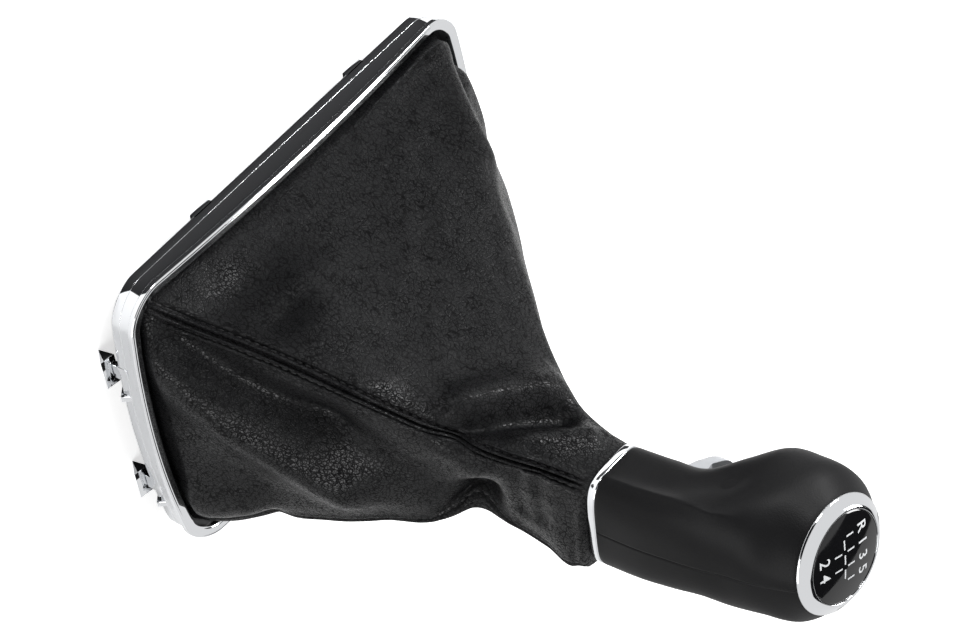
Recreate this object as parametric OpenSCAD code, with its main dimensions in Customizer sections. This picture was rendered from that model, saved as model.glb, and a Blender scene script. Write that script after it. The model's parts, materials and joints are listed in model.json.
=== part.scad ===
// Gear shift knob with leather gaiter and chrome bezel, in millimetres.
// The origin is the centre of the lever socket's mouth, +Z up along the lever, +Y the car's front, +X its right.

/* [Bezel] */
// Width of the bezel across the car
bezel_w = 117; // [100:1:130]
// Length of the bezel at its corners
bezel_l = 168; // [150:1:190]
// How far each short side bows outward
end_bow = 5.6; // [2:0.2:9]
// Corner radius of the bezel seen from above
bezel_corner = 12; // [9:0.5:18]
// Height of the skirt at the short sides
skirt_h = 10.3; // [8:0.1:16]
// How much higher the rim stands at the middle of the long sides
rim_arch = 3; // [1:0.1:6]
// Wall of the skirt
skirt_wall = 2.2; // [1.6:0.1:3]
// How far the rim stands out over the skirt
rim_lip = 1.4; // [0.8:0.1:3]
// Width of the rim's face
rim_w = 4.2; // [3:0.1:6]
// Thickness of the rim
rim_t = 2.4; // [1.8:0.1:4]
// Depth of the snap clips below the skirt
clip_drop = 8.5; // [6:0.5:12]

/* [Placement] */
// Height of the socket's mouth over the bezel's back edge
lever_rise = 140; // [120:1:160]
// How far the lever stands behind the middle of the bezel
lever_back = 33.5; // [20:0.5:36]

/* [Gaiter] */
// Thickness of the leather
leather = 1.3; // [1:0.1:1.8]
// How strongly the sides fall in towards the knob
drape = 1.28; // [1.05:0.01:1.6]
// Share of the modelled fold depth
fold_depth = 1; // [0.4:0.05:1.2]
// Thickness of the sewing thread
thread_d = 0.8; // [0.6:0.1:1.2]
// Distance of each row of stitches from its seam
stitch_inset = 3; // [2:0.1:4]

/* [Knob] */
// Width of the neck
neck_w = 38.6; // [36:0.2:42]
// Depth of the neck
neck_d = 27.4; // [26.5:0.1:32]
// Width of the head
head_w = 50; // [46:0.5:56]
// Depth of the head
head_d = 48.6; // [45:0.2:54]
// Height from the neck's foot to the middle of the cap
knob_h = 70; // [66:0.5:76]
// How far the cap stands in front of the lever
cap_reach = 16.6; // [13:0.1:19]
// Backward tilt of the cap in degrees
cap_tilt = 7.6; // [4:0.2:12]
// Sideways lean of the cap to the left, toward the driver, in degrees
cap_lean = 12.8; // [0:0.2:15]
// Outer radius of the cap ring
ring_r = 19.7; // [19:0.1:21.5]
// Radius of the pattern disc
disc_r = 15.3; // [14:0.1:16.4]
// Wall of the knob shells
shell_wall = 2; // [1.6:0.1:2.6]
// Height of the chrome collar
collar_h = 2.7; // [2:0.1:4]

/* [Lever socket] */
// Radius of the socket
socket_r = 6; // [5:0.1:6.2]
// Length of the socket's wall
socket_len = 43; // [36:0.5:46]
// Wall of the core's tube
core_wall = 1.5; // [1.3:0.1:1.7]

/* [Trigger] */
// Upward travel of the reverse trigger
trigger_travel = 5; // [3:0.5:6]
// Width of the trigger's face and lip
trigger_w = 24; // [18:0.5:25]
// Height of the trigger's face
trigger_h = 17; // [14:0.5:18]

/* [Hidden] */
$fn = 72;

// Heights and places that follow from the sizes above
bezel_z = -lever_rise;
bezel_y = lever_back;
half_w = bezel_w / 2;
half_l = bezel_l / 2;
rim_z = bezel_z + skirt_h;
arch_r = (half_l * half_l + rim_arch * rim_arch) / (2 * rim_arch);
eps = 0.01;

// The mouth of the socket has a lip that holds the retaining clip in its groove
mouth_lip = 1.1;
clip_groove = 1.4;
clip_bite = 0.9;
core_r = socket_r + core_wall;
core_foot = -mouth_lip - clip_groove;
flange_z = socket_len + 1;
flange_t = 5;

// The collar sits between the sleeve that holds the leather and the foot of the knob
neck_z = 14.2;
collar_z = neck_z - collar_h;
neck_taper = -0.07;
neck_n = 4;
cuff_gap = 0.4;
tie_out = 2.3;
tie_t = 1;
sleeve_out = tie_out + tie_t;
sleeve_in = sleeve_out + 1.3;
sleeve_h = 20;
sleeve_z = collar_z - sleeve_h;
tie_w = 4;
tie_z = sleeve_z + 6;

// The slider runs on the core's tube and the spring stands on it
run_gap = 0.35;
slider_in = core_r + run_gap;
slider_out = slider_in + 1.5;
slider_z = neck_z + 4;
slider_h = 9;
rod_r = 1.25;
rod_x = slider_out + rod_r + 0.4;
spring_wire = 0.8;
spring_r = core_r + 0.3 + spring_wire / 2;
spring_turns = 6;

// The cap's pieces are drawn in the cap's own tilted frame, downward from its face
ring_drop = 2.7;
ring_seat = 5;
plate_t = 2;
ring_wall = 1.8;
disc_crown = 1.3;
cap_z = neck_z + knob_h;

function lerp(a, b, t) = a + (b - a) * t;
function clamp(t) = min(1, max(0, t));
function unit(v) = v / norm(v);

// A point on a rounded rectangle at u: 0 rear left corner, 0.25 front left, 0.5 front right, 0.75 rear right
function side_point(s) = let(i = floor(s), t = 2 * (s - i) - 1)
    i == 0 ? [-1, t] : i == 1 ? [t, 1] : i == 2 ? [1, -t] : [-t, -1];
function round_rect(u, a, b, n, taper = 0) =
    let(p = side_point(4 * (u - floor(u))), m = pow(pow(abs(p[0]), n) + pow(abs(p[1]), n), 1 / n))
    [a * p[0] / m * (1 + taper * p[1] / m), b * p[1] / m];

// Smooth value of column c at t from rows whose first number is the place along the way
function row_at(rows, t) = max([for (i = [0 : len(rows) - 2]) if (rows[i][0] <= t) i]);
function slope(rows, i, c) =
    let(a = max(0, i - 1), b = min(len(rows) - 1, i + 1))
    (rows[b][c] - rows[a][c]) / (rows[b][0] - rows[a][0]);
function smooth(rows, t, c) =
    let(i = row_at(rows, t), w = rows[i + 1][0] - rows[i][0], f = (t - rows[i][0]) / w)
    (2 * f * f * f - 3 * f * f + 1) * rows[i][c] + (f * f * f - 2 * f * f + f) * w * slope(rows, i, c)
    + (3 * f * f - 2 * f * f * f) * rows[i + 1][c] + (f * f * f - f * f) * w * slope(rows, i + 1, c);

// The knob's sections: share of its height, middle in Y, half width, half depth, squareness, taper,
// backward tilt, share of the sideways lean, middle in X
neck_a = neck_w / 2;
neck_b = neck_d / 2;
head_a = head_w / 2;
head_b = head_d / 2;
bend_y = 2.2;
top_x = ring_drop * sin(cap_lean) * cos(cap_tilt);
top_y = cap_reach + ring_drop * sin(cap_tilt);
top_z = knob_h - ring_drop * cos(cap_lean) * cos(cap_tilt);
function mid(share) = lerp(bend_y, cap_reach, share);
function wide(share) = lerp(neck_a, head_a, share);
function deep(share) = lerp(neck_b, head_b, share);
knob_rows = [
    [0, -0.3, neck_a, neck_b, neck_n, neck_taper, 0, 0, 0],
    [0.2, 0.9, neck_a - 0.4, neck_b + 0.6, neck_n, neck_taper, 0, 0, 0],
    [0.36, bend_y, neck_a + 0.2, neck_b + 0.6, 3.8, neck_taper, 0, 0, -1],
    [0.5, mid(0.42), wide(0.36), deep(0.52), 3.3, -0.05, 1, 0.06, -1.2],
    [0.63, mid(0.83), wide(0.86), deep(0.82), 2.9, -0.02, 2.2, 0.22, 0.2],
    [0.77, cap_reach, wide(0.95), head_b, 2.5, 0, 4.4, 0.51, 1],
    [0.9, cap_reach + 1.8, lerp(head_a, ring_r, 0.08), lerp(head_b, ring_r, 0.2), 2.2, 0,
     cap_tilt - 0.8, 0.84, 2.4],
    [1, top_y, ring_r - 0.2, ring_r - 0.2, 2, 0, cap_tilt, 1, top_x]];

// A place on the knob: share of its height t, place round it u, shrunk by the inset
function knob_point(t, u, inset) =
    let(p = round_rect(u, smooth(knob_rows, t, 2) - inset, smooth(knob_rows, t, 3) - inset,
                       smooth(knob_rows, t, 4), smooth(knob_rows, t, 5)),
        tilt = smooth(knob_rows, t, 6), lean = cap_lean * smooth(knob_rows, t, 7), rise = p[1] * sin(tilt))
    [smooth(knob_rows, t, 8) + p[0] * cos(lean) - rise * sin(lean),
     smooth(knob_rows, t, 1) + p[1] * cos(tilt),
     neck_z + top_z * t + p[0] * sin(lean) + rise * cos(lean)];

// The outline of the collar, its sleeve and the cuff, shrunk by the inset
function collar_point(u, inset) =
    let(p = round_rect(u, neck_a - inset, neck_b - inset, neck_n, neck_taper)) [p[0], p[1] - 0.3];
function collar_outline(inset) = [for (i = [0 : 63]) collar_point(-i / 64, inset)];

// The bezel's outline: straight long sides, round corners and bowed short sides
function bezel_end(x, a, b) = b + end_bow * (1 - x * x / (half_w * half_w));
function quarter(a, b, r) = concat(
    [for (i = [0 : 8]) let(x = a - r + r * cos(i * 11.25)) [x, bezel_end(x, a, b - r + r * sin(i * 11.25))]],
    [for (i = [1 : 5]) let(x = (a - r) * (1 - i / 5)) [x, bezel_end(x, a, b)]]);
function bezel_outline(grow) =
    let(q = quarter(half_w + grow, half_l + grow, bezel_corner + grow), n = len(q))
    concat(q, [for (i = [1 : n - 1]) [-q[n - 1 - i][0], q[n - 1 - i][1]]],
           [for (i = [0 : n - 1]) [-q[i][0], -q[i][1]]], [for (i = [1 : n - 1]) [q[n - 1 - i][0], -q[n - 1 - i][1]]]);

// A closed skin with thickness over a grid of points: outer and inner are lists of rows of equal length
module thick_skin(outer, inner) {
    rows = len(outer);
    cols = len(outer[0]);
    size = rows * cols;
    points = [for (grid = [outer, inner]) for (row = grid) for (p = row) p];
    function at(r, c, side) = side * size + r * cols + c;
    function quad(a, b, c, d) = [[a, b, c], [a, c, d]];
    skins = [for (r = [0 : rows - 2]) for (c = [0 : cols - 2]) each concat(
        quad(at(r, c, 0), at(r + 1, c, 0), at(r + 1, c + 1, 0), at(r, c + 1, 0)),
        quad(at(r, c, 1), at(r, c + 1, 1), at(r + 1, c + 1, 1), at(r + 1, c, 1)))];
    ends = [for (c = [0 : cols - 2]) each concat(
        quad(at(0, c, 0), at(0, c + 1, 0), at(0, c + 1, 1), at(0, c, 1)),
        quad(at(rows - 1, c, 0), at(rows - 1, c, 1), at(rows - 1, c + 1, 1), at(rows - 1, c + 1, 0)))];
    sides = [for (r = [0 : rows - 2]) each concat(
        quad(at(r, 0, 0), at(r, 0, 1), at(r + 1, 0, 1), at(r + 1, 0, 0)),
        quad(at(r, cols - 1, 0), at(r + 1, cols - 1, 0), at(r + 1, cols - 1, 1), at(r, cols - 1, 1)))];
    polyhedron(points, concat(skins, ends, sides), convexity = 8);
}

// A round thread along a list of points
module thread(path, d, sides = 5) {
    n = len(path);
    function ahead(i) = unit(path[min(n - 1, i + 1)] - path[max(0, i - 1)]);
    rings = [for (i = [0 : n - 1])
        let(t = ahead(i), side = unit(cross(t, [0.3, 1, 0.2])), up = cross(side, t))
        for (k = [0 : sides - 1]) path[i] + d / 2 * (cos(360 * k / sides) * side + sin(360 * k / sides) * up)];
    walls = [for (i = [0 : n - 2]) for (k = [0 : sides - 1])
        let(a = i * sides + k, b = i * sides + (k + 1) % sides) each [[a, a + sides, b], [b, a + sides, b + sides]]];
    polyhedron(rings, concat(walls, [[for (k = [0 : sides - 1]) k],
                                     [for (k = [sides - 1 : -1 : 0]) (n - 1) * sides + k]]));
}

// The gaiter: hem at the bezel, cuff at the collar, and folds between them
frame_t = 2.5;
frame_z = bezel_z + 2;
gaiter_inset = skirt_wall + 2.4;
hem_gap = 1.2;
hem_z = frame_z + frame_t + hem_gap;
cuff_z = collar_z - 0.3;
gaiter_a = half_w - gaiter_inset;
gaiter_b = half_l - gaiter_inset;
gaiter_h = cuff_z - hem_z;

// Folds: start u and height share, end u and height share, half width in mm, height outward in mm
folds = [
    [0.96, 0.02, 0.83, 0.42, 12, 6],
    [0.985, 0.1, 0.93, 0.4, 9, -5],
    [0.93, 0.4, 0.87, 0.62, 11, -4],
    [0.8, 0.02, 0.8, 0.17, 8, 4],
    [0.76, 0.08, 0.755, 0.2, 7, -4],
    [0.06, 0.24, 0.02, 0.48, 11, 4],
    [0.035, 0.14, 0.04, 0.24, 9, -3.5],
    [0.237, 0.05, 0.26, 0.3, 7, 2.5],
    [0.275, 0.06, 0.285, 0.17, 7, -4],
    [0.99, 0.69, 0.15, 0.85, 6.5, -6],
    [0.05, 0.68, 0.18, 0.8, 7, 3.5],
    [0.04, 0.83, 0.15, 0.93, 6, 3],
    [0.78, 0.7, 0.86, 0.735, 7, -7],
    [0.5, 0.3, 0.52, 0.6, 16, -4],
    [0.62, 0.2, 0.66, 0.6, 15, -5]];

// How far the front and the rear right corner stand out, in mm, by height share
front_swell = [[0, 0], [0.05, 9], [0.1, 7], [0.2, 6.5], [0.3, 8], [0.45, 5], [0.6, 0.5],
               [0.75, -5.5], [0.85, -8], [0.95, -2.6], [1, 0]];
rear_swell = [[0, 0], [0.07, 3], [0.15, 2], [0.25, -1], [0.4, -1.5], [0.5, -2.5], [0.6, -3],
              [0.7, -7], [0.8, -5], [0.88, -1], [0.95, 3.5], [1, 0.5]];

// How far the leather beside the left seam is drawn round to the rear, by height share
seam_shift = [[0, 0], [0.3, 0], [0.5, -0.006], [0.65, -0.014], [0.78, -0.017], [0.9, -0.006], [1, 0]];

// Distance in mm from a place on the gaiter to a fold's line
function girth(v) = lerp(1.5 * (bezel_w + bezel_l), 1.8 * (neck_w + neck_d), v);
function turn_gap(d) = d - round(d);
function fold_reach(u, v, f) =
    let(ax = turn_gap(u - f[0]) * girth(v), ay = (v - f[1]) * gaiter_h,
        bx = turn_gap(f[2] - f[0]) * girth(v), by = (f[3] - f[1]) * gaiter_h,
        t = clamp((ax * bx + ay * by) / (bx * bx + by * by)))
    norm([ax - t * bx, ay - t * by]);

// 1 at the middle, falling smoothly to 0 at the reach round the gaiter
function swell(u, middle, reach) = pow(cos(90 * clamp(abs(turn_gap(u - middle)) / reach)), 2);

// The sum of all folds, held flat near the hem and the cuff
hem_hold = 0.05;
cuff_hold = 0.04;
fold_scale = gaiter_h / 145.5;
function total(list, i = 0) = i < len(list) ? list[i] + total(list, i + 1) : 0;
function fold_height(u, v) =
    clamp(v / hem_hold) * clamp((1 - v) / cuff_hold) * fold_depth * fold_scale
    * (total([for (f = folds) f[5] * exp(-pow(fold_reach(u, v, f) / (f[4] * fold_scale), 2))])
       + smooth(front_swell, v, 1) * swell(u, 0.37, 0.24) + smooth(rear_swell, v, 1) * swell(u, 0.78, 0.16));

// A place on the draped leather without its folds, then with them
hem_n = 20;
soft_n = 3;
function smooth_leather(u, v, n = hem_n) =
    let(low = round_rect(u, gaiter_a, gaiter_b, n), high = collar_point(u, cuff_gap),
        bow = end_bow * (1 - low[0] * low[0] / (half_w * half_w)) * low[1] / gaiter_b,
        s = 1 - pow(1 - v, drape))
    [lerp(low[0], high[0], s), lerp(low[1] + bow + bezel_y, high[1], s), lerp(hem_z, cuff_z, v)];
function outward(u, v, n = hem_n) =
    let(e = 0.004, v0 = max(0, v - e), v1 = min(1, v + e))
    unit(cross(smooth_leather(u, v1, n) - smooth_leather(u, v0, n),
               smooth_leather(u + e, v, n) - smooth_leather(u - e, v, n)));
function leather_point(u, v, lift = 0) =
    let(w = u + smooth(seam_shift, v, 1) * swell(u, 0, 0.12))
    smooth_leather(w, v) + fold_height(w, v) * outward(w, v, soft_n) + lift * outward(w, v);

gaiter_rows = 26;
function leather_grid(u0, u1, cols, lift) =
    [for (r = [0 : gaiter_rows]) [for (c = [0 : cols]) leather_point(lerp(u0, u1, c / cols), r / gaiter_rows, lift)]];

module leather_panel(u0, u1, cols) {
    thick_skin(leather_grid(u0, u1, cols, 0), leather_grid(u0, u1, cols, -leather));
}

// Two rows of stitches beside a seam
thread_gap = 0.4;
module stitching(u_seam) {
    steps = gaiter_rows;
    for (side = [-1, 1])
        thread([for (i = [1 : steps - 1]) let(v = i / steps)
            leather_point(u_seam + side * stitch_inset / girth(v), v, thread_d / 2 + thread_gap)], thread_d);
}

module rim_envelope(top) {
    translate([0, bezel_y, top - arch_r + rim_arch]) rotate([0, 90, 0])
        cylinder(r = arch_r, h = 2 * bezel_w, center = true, $fn = 360);
}

module bezel_plate(grow, z0, z1) {
    translate([0, bezel_y, z0]) linear_extrude(z1 - z0) polygon(bezel_outline(grow));
}

// One barbed snap clip, standing on the short side at its own mirror side
clip_w = 13;
clip_x = 27;
module snap_clip() {
    stem_w = 6;
    barb = 3.2;
    translate([-stem_w / 2, -skirt_wall, -clip_drop]) cube([stem_w, skirt_wall, clip_drop + 4]);
    translate([-clip_w / 2, -skirt_wall, -clip_drop]) rotate([90, 0, 90])
        linear_extrude(clip_w) polygon([[0, 0], [skirt_wall, 0], [skirt_wall + barb, clip_drop * 0.55], [0, clip_drop * 0.7]]);
}

module chrome_bezel() color([0.82, 0.83, 0.84]) {
    lug_w = 9;
    lug_h = 1.6;
    top = rim_z + rim_arch;
    difference() {
        intersection() {
            union() {
                bezel_plate(0, bezel_z, top);
                intersection() {
                    bezel_plate(rim_lip, bezel_z, top);
                    difference() {
                        bezel_plate(rim_lip + 1, bezel_z - 1, top + 1);
                        rim_envelope(rim_z - rim_t);
                    }
                }
            }
            rim_envelope(rim_z);
        }
        bezel_plate(-skirt_wall, bezel_z - 1, bezel_z + skirt_h - rim_t - 2);
        intersection() {
            bezel_plate(-skirt_wall, bezel_z - 1, top);
            rim_envelope(rim_z - rim_t);
        }
        bezel_plate(rim_lip - rim_w, bezel_z - 1, top + 1);
    }
    for (end = [-1, 1], x = [-clip_x, clip_x])
        translate([x, bezel_y + end * bezel_end(x, half_w, half_l), bezel_z]) mirror([0, end < 0 ? 1 : 0, 0]) snap_clip();
    for (side = [-1, 1], y = [-38, 43])
        translate([side * (half_w - skirt_wall / 2) - skirt_wall / 2, bezel_y + y - lug_w / 2, bezel_z - lug_h])
            cube([skirt_wall, lug_w, lug_h + 1]);
}

// The frame under the rim carries the hem of the leather
frame_in = gaiter_inset + leather + 6;
module gaiter_frame() color([0.07, 0.07, 0.075]) {
    difference() {
        bezel_plate(-skirt_wall, frame_z, frame_z + frame_t);
        bezel_plate(-frame_in, frame_z - 1, frame_z + frame_t + 1);
    }
}

module hem_staples() color([0.6, 0.6, 0.62]) {
    wire = 0.7;
    crown = 8;
    for (side = [-1, 1], y = [-0.64, -0.21, 0.21, 0.64] * half_l)
        translate([side * (half_w - gaiter_inset) - wire / 2, bezel_y + y - crown / 2, frame_z - wire])
            cube([wire, crown, wire]);
    for (end = [-1, 1], x = [-0.55, 0, 0.55] * half_w)
        translate([x - crown / 2, bezel_y + end * (half_l - skirt_wall - 1) - wire / 2, frame_z - wire])
            cube([crown, wire, wire]);
}

module gaiter_wrap_panel() color([0.06, 0.06, 0.065]) leather_panel(0, 0.75, 57);
module gaiter_rear_panel() color([0.065, 0.065, 0.07]) leather_panel(0.75, 1, 19);
module stitching_left() color([0.03, 0.03, 0.03]) stitching(0);
module stitching_right() color([0.03, 0.03, 0.03]) stitching(0.75);

module collar_plate(inset, z0, h) {
    translate([0, 0, z0]) linear_extrude(h) polygon(collar_outline(inset));
}

module collar_sleeve() color([0.05, 0.05, 0.05]) difference() {
    union() {
        collar_plate(sleeve_out, sleeve_z, sleeve_h);
        collar_plate(tie_out, sleeve_z, 2);
        collar_plate(tie_out, collar_z - 3, 3);
    }
    collar_plate(sleeve_in, sleeve_z - 1, sleeve_h + 2);
}

module cable_tie() color([0.02, 0.02, 0.02]) {
    difference() {
        collar_plate(tie_out, tie_z, tie_w);
        collar_plate(sleeve_out, tie_z - 1, tie_w + 2);
    }
}

module collar_ring() color([0.85, 0.85, 0.87]) difference() {
    collar_plate(0, collar_z, collar_h);
    collar_plate(sleeve_in, collar_z - 1, collar_h + 2);
}

// Half of the knob, from one middle round its side to the other; the left half starts at the rear
shell_rings = 22;
shell_cols = 20;
rear_u = -0.125;
front_u = 0.375;
function half_rings(start_u, inset) = [for (r = [0 : shell_rings])
    [for (c = [0 : shell_cols])
        let(p = knob_point(r / shell_rings, start_u + (front_u - rear_u) * c / shell_cols, inset))
        [c == 0 || c == shell_cols ? 0 : p[0], p[1], p[2]]]];
module trigger_pocket() {
    side = trigger_w / 2 + pocket_gap;
    translate([-side, apron_y - pocket_gap, trigger_z - pocket_gap])
        cube([2 * side, head_b, trigger_h + apron_h + pocket_gap]);
}
module half_shell(start_u) difference() {
    thick_skin(half_rings(start_u, 0), half_rings(start_u, shell_wall));
    trigger_pocket();
}
module knob_shell_left() color([0.07, 0.07, 0.07]) half_shell(rear_u);
module knob_shell_right() color([0.07, 0.07, 0.07]) half_shell(front_u);

module in_cap_frame() {
    translate([0, cap_reach, cap_z]) rotate([cap_tilt, -cap_lean, 0]) children();
}

// The core's flange fills the neck behind the trigger's apron, and its post carries the cap
post_r = 10;
post_y = cap_reach - 2.3;
screw_x = 6;
screw_r = 1.4;
screw_bite = 6;
module flange_outline(z) {
    share = (z - neck_z) / top_z;
    translate([0, 0, flange_z]) linear_extrude(flange_t)
        polygon([for (i = [0 : 47]) let(p = knob_point(share, -i / 48, shell_wall + 0.9)) [p[0], p[1]]]);
}

module knob_core() color([0.2, 0.2, 0.21]) {
    difference() {
        union() {
            translate([0, 0, core_foot]) cylinder(r = core_r, h = flange_z - core_foot + flange_t);
            intersection() {
                flange_outline(flange_z);
                flange_outline(flange_z + flange_t);
                translate([-30, apron_y - 60.4, flange_z - 1]) cube([60, 60, flange_t + 2]);
            }
            intersection() {
                translate([0, post_y, flange_z + flange_t - 0.5]) cylinder(r = post_r, h = 60);
                in_cap_frame() translate([-40, -40, -80 - ring_seat - plate_t]) cube([80, 80, 80]);
            }
        }
        in_cap_frame() for (x = [-screw_x, screw_x])
            translate([x, 0, -ring_seat - plate_t - screw_bite]) cylinder(r = screw_r, h = screw_bite + 1);
        cylinder(r = socket_r, h = socket_len);
        translate([0, 0, -clip_groove]) cylinder(r = socket_r + clip_bite, h = clip_groove + eps);
        translate([0, 0, core_foot - 1]) cylinder(r = socket_r + 0.5, h = mouth_lip + 1 + eps);
    }
}

module retaining_clip() color([0.55, 0.56, 0.58]) {
    translate([0, 0, -clip_groove + 0.1]) rotate([0, 0, 30])
        rotate_extrude(angle = 300) translate([socket_r + 0.1, 0]) square([clip_bite - 0.2, clip_groove - 0.2]);
}

module cap_carrier() color([0.12, 0.12, 0.12]) in_cap_frame() difference() {
    union() {
        translate([0, 0, -ring_seat - plate_t]) cylinder(r = ring_r - 2.6, h = plate_t);
        translate([0, 0, -ring_seat - eps]) cylinder(r = disc_r - 0.2, h = ring_seat - 2 + eps);
    }
    for (x = [-screw_x, screw_x]) translate([x, 0, -ring_seat - plate_t - 1]) {
        cylinder(r = screw_r + 0.2, h = 20);
        translate([0, 0, plate_t + 2]) cylinder(r = 2 * screw_r + 0.2, h = 20);
    }
}

module carrier_screws() color([0.5, 0.5, 0.52]) in_cap_frame() for (x = [-screw_x, screw_x])
    translate([x, 0, -ring_seat - plate_t - screw_bite]) {
        cylinder(r = screw_r, h = screw_bite + plate_t + 1.5);
        translate([0, 0, screw_bite + plate_t + 1]) cylinder(r = 2 * screw_r, h = 1.6);
    }

module cap_ring() color([0.85, 0.85, 0.87]) in_cap_frame() rotate_extrude()
    polygon([[disc_r + 0.05, 0.25], [disc_r + 1.2, 0.1], [ring_r - 1.4, -1.3], [ring_r - 0.2, -ring_drop + 0.5],
             [ring_r, -ring_drop], [disc_r + ring_wall, -ring_drop], [disc_r + ring_wall, -ring_seat],
             [disc_r + 0.05, -ring_seat]]);

module pattern_disc() color([0.01, 0.01, 0.012]) in_cap_frame() {
    crown_r = (disc_r * disc_r + disc_crown * disc_crown) / (2 * disc_crown);
    intersection() {
        translate([0, 0, -2]) cylinder(r = disc_r, h = 4);
        translate([0, 0, disc_crown - crown_r]) sphere(r = crown_r, $fn = 180);
    }
}

// The trigger's face lies in the pocket of the neck, its arm reaches the slider and its apron closes the slot.
// Its lip stands out under the head and follows the head's underside, lower by the travel.
trigger_z = neck_z + 5;
apron_y = slider_out + 1.2;
apron_t = 1;
apron_h = trigger_travel + 2.3;
pocket_gap = 0.6;
face_inset = 0.3;
lip_corner = 3;
lip_root = 0.23;
lip_tip = 0.466;
function front_point(t, back, lower) = let(p = knob_point(t, front_u, 0)) [p[1] - back, p[2] - lower];
module trigger_profile() {
    foot = front_point((trigger_z - neck_z) / top_z, face_inset, 0);
    root = front_point(lip_root, face_inset, 0);
    tip = front_point(lip_tip, 0, trigger_travel + pocket_gap);
    polygon(concat(
        [[apron_y, trigger_z], [foot[0], trigger_z]],
        [for (s = [[0, 0], [0.3, 0.14], [0.66, 0.39], [0.89, 0.61], [1, 0.85]])
            [lerp(root[0], tip[0], s[0]), lerp(root[1], tip[1], s[1])]],
        [for (t = [lip_tip : -0.02 : 0.4]) front_point(t, 0, trigger_travel + pocket_gap)],
        [[apron_y, trigger_z + trigger_h]]));
}
module trigger() color([0.72, 0.73, 0.74]) {
    side = trigger_w / 2;
    tip_y = front_point(lip_tip, 0, 0)[0];
    tall = knob_h;
    difference() {
        union() {
            intersection() {
                translate([-side, 0, 0]) rotate([90, 0, 90]) linear_extrude(trigger_w) trigger_profile();
                union() {
                    translate([-side, 0, 0]) cube([trigger_w, tip_y - lip_corner, tall]);
                    translate([lip_corner - side, 0, 0]) cube([trigger_w - 2 * lip_corner, tip_y, tall]);
                    for (x = [lip_corner - side, side - lip_corner])
                        translate([x, tip_y - lip_corner, 0]) cylinder(r = lip_corner, h = tall);
                }
            }
            translate([-side, apron_y, trigger_z]) cube([trigger_w, apron_t, trigger_h + apron_h]);
            translate([-4, 0, slider_z + 4]) cube([8, apron_y + eps, 6]);
        }
        cylinder(r = slider_out, h = neck_z + knob_h);
    }
}

module trigger_slider() color([0.16, 0.16, 0.17]) difference() {
    union() {
        translate([0, 0, slider_z]) cylinder(r = slider_out, h = slider_h);
        translate([-rod_x - 2.2, -3, slider_z]) cube([2 * rod_x + 4.4, 6, 4]);
    }
    translate([0, 0, slider_z - 1]) cylinder(r = slider_in, h = slider_h + 2);
    for (x = [-rod_x, rod_x]) translate([x, 0, slider_z - 1]) cylinder(r = rod_r, h = 4);
}

module lock_rods() color([0.6, 0.6, 0.62]) for (x = [-rod_x, rod_x])
    translate([x, 0, sleeve_z + 3]) cylinder(r = rod_r, h = slider_z + 3 - sleeve_z - 3);

module return_spring() color([0.6, 0.6, 0.62]) {
    low = slider_z + slider_h + spring_wire / 2;
    high = flange_z - spring_wire / 2;
    steps = 12 * spring_turns;
    thread([for (i = [0 : steps]) let(a = 360 * i / 12)
        [spring_r * cos(a), spring_r * sin(a), lerp(low, high, i / steps)]], spring_wire);
}

chrome_bezel();
gaiter_frame();
hem_staples();
gaiter_wrap_panel();
gaiter_rear_panel();
stitching_left();
stitching_right();
collar_sleeve();
cable_tie();
collar_ring();
knob_shell_left();
knob_shell_right();
knob_core();
retaining_clip();
cap_carrier();
carrier_screws();
cap_ring();
pattern_disc();
trigger();
trigger_slider();
lock_rods();
return_spring();
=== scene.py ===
import json

import bpy
import numpy as np
from mathutils import Matrix, Vector


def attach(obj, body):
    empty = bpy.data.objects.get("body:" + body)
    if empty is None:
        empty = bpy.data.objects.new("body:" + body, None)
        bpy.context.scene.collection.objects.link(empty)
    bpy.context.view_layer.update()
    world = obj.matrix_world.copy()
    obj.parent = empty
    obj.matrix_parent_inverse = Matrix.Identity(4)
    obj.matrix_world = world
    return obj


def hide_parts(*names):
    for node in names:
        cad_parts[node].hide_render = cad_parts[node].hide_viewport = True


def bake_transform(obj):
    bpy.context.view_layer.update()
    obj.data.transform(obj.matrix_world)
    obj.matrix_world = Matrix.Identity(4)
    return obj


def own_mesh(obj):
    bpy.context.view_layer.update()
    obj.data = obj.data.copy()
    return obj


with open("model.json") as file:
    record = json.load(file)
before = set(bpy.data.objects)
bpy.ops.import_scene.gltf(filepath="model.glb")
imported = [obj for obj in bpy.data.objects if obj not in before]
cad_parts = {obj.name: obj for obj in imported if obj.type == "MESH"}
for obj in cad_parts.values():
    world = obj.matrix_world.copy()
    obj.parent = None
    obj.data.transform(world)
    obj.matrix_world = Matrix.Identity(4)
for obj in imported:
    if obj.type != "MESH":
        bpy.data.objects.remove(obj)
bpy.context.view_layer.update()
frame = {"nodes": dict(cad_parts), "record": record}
nodes = frame["nodes"]
slots = {p["node"]: p["material_slot"] for p in frame["record"]["subparts"]}
MM = 0.001

# ---------------------------------------------------------------- camera
# the axes and the place, in metres, of the camera fitted to the photo
CAMERA_RIGHT = (0.09956, 0.57669, 0.81087)
CAMERA_UP = (-0.70137, 0.61873, -0.35392)
CAMERA_BACK = (-0.70581, -0.53348, 0.46608)
CAMERA_AT = (-0.5710, -0.3882, 0.3065)
cam_data = bpy.data.cameras.new("camera")
cam_data.lens = 90.0
cam_data.sensor_width = 36.0
cam_data.clip_end = 20
camera = bpy.data.objects.new("camera", cam_data)
bpy.context.scene.collection.objects.link(camera)
camera_place = Matrix((CAMERA_RIGHT, CAMERA_UP, CAMERA_BACK)).transposed().to_4x4()
camera_place.translation = Vector(CAMERA_AT)
camera.matrix_world = camera_place
bpy.context.scene.camera = camera
bpy.context.scene.view_settings.view_transform = "Standard"

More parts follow.
